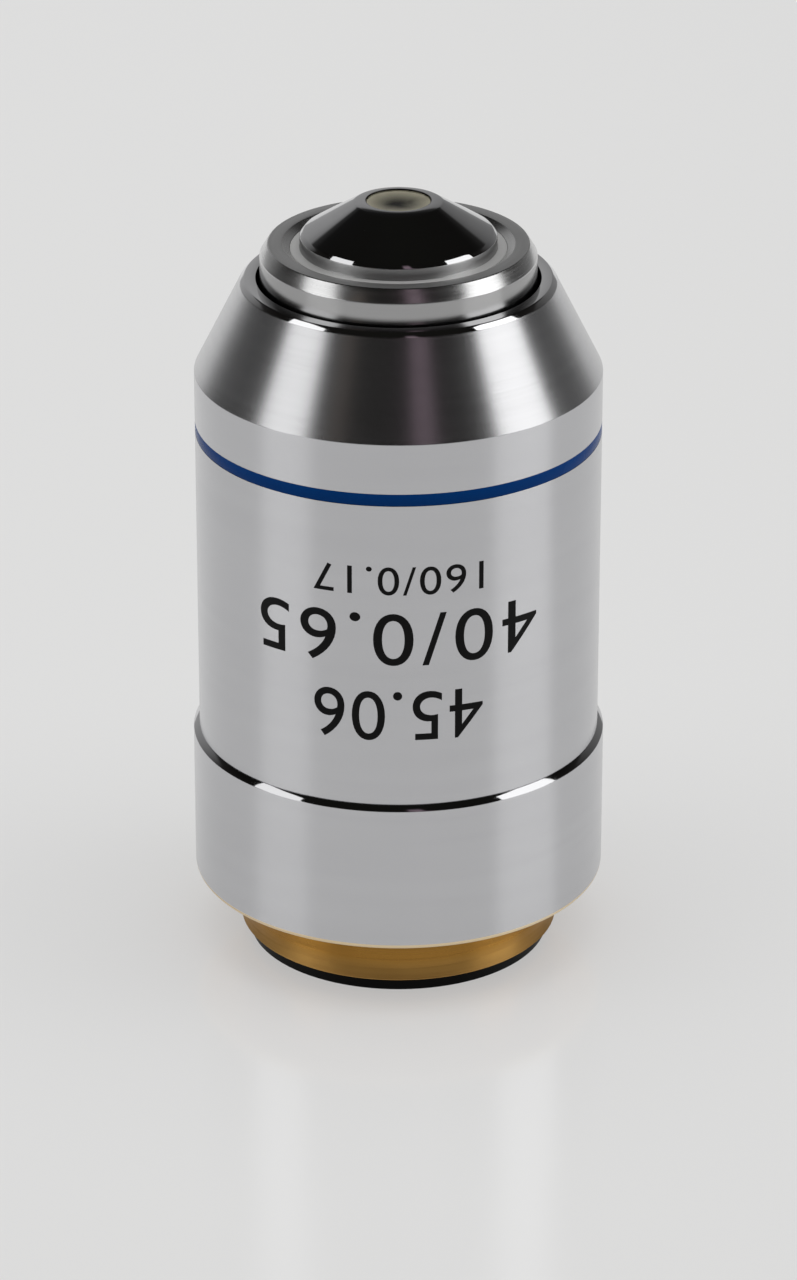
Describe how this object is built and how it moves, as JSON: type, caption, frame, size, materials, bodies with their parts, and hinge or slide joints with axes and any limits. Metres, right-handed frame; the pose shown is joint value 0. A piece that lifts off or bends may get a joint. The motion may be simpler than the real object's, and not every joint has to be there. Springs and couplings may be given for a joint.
{
  "type": "microscope objective",
  "caption": "Microscope objective with a chrome sleeve, a polished cone, a spring loaded nose that slides back into the sleeve, and a brass mounting thread.",
  "frame": {"origin": "on the optical axis, in the plane of the mounting shoulder", "axes": "+Z along the optical axis, from the mounting thread to the front lens"},
  "size_m": [0.026, 0.026, 0.0493],
  "materials": {
    "satin_chrome": "satin chrome plate on turned brass",
    "polished_chrome": "bright chrome plate with fine turning marks",
    "brass": "bare turned brass",
    "blackened_brass": "chemically blackened brass",
    "black_anodised": "matt black anodised",
    "blue_enamel": "gloss enamel",
    "spring_steel": "drawn steel wire",
    "lens_glass": "coated optical glass"
  },
  "bodies": {
    "mount": {"thread_mount": "brass", "base_sleeve": "satin_chrome", "outer_sleeve": "satin_chrome", "colour_ring": "blue_enamel", "rear_stop": "black_anodised", "return_spring": "spring_steel", "guide_screw": "spring_steel"},
    "lens_carriage": {"lens_barrel": "blackened_brass", "nose_ring": "polished_chrome", "front_cell": "polished_chrome", "front_lens": "lens_glass", "second_cell": "black_anodised", "second_lens": "lens_glass", "front_doublet_cell": "black_anodised", "front_doublet_crown": "lens_glass", "front_doublet_flint": "lens_glass", "triplet_cell": "black_anodised", "triplet_front": "lens_glass", "triplet_middle": "lens_glass", "triplet_rear": "lens_glass", "spacer_front": "black_anodised", "rear_doublet_cell": "black_anodised", "rear_doublet_crown": "lens_glass", "rear_doublet_flint": "lens_glass", "spacer_rear": "black_anodised", "flattener_cell": "black_anodised", "flattener_front": "lens_glass", "flattener_rear": "lens_glass"}
  },
  "joints": [
    {"name": "nose_retract", "type": "slide", "parent": "mount", "child": "lens_carriage", "axis": [0, 0, -1], "range_m": [0, 0.0025], "stiffness_N_per_m": 400, "springref_m": -0.004, "deforming": ["return_spring"]}
  ]
}
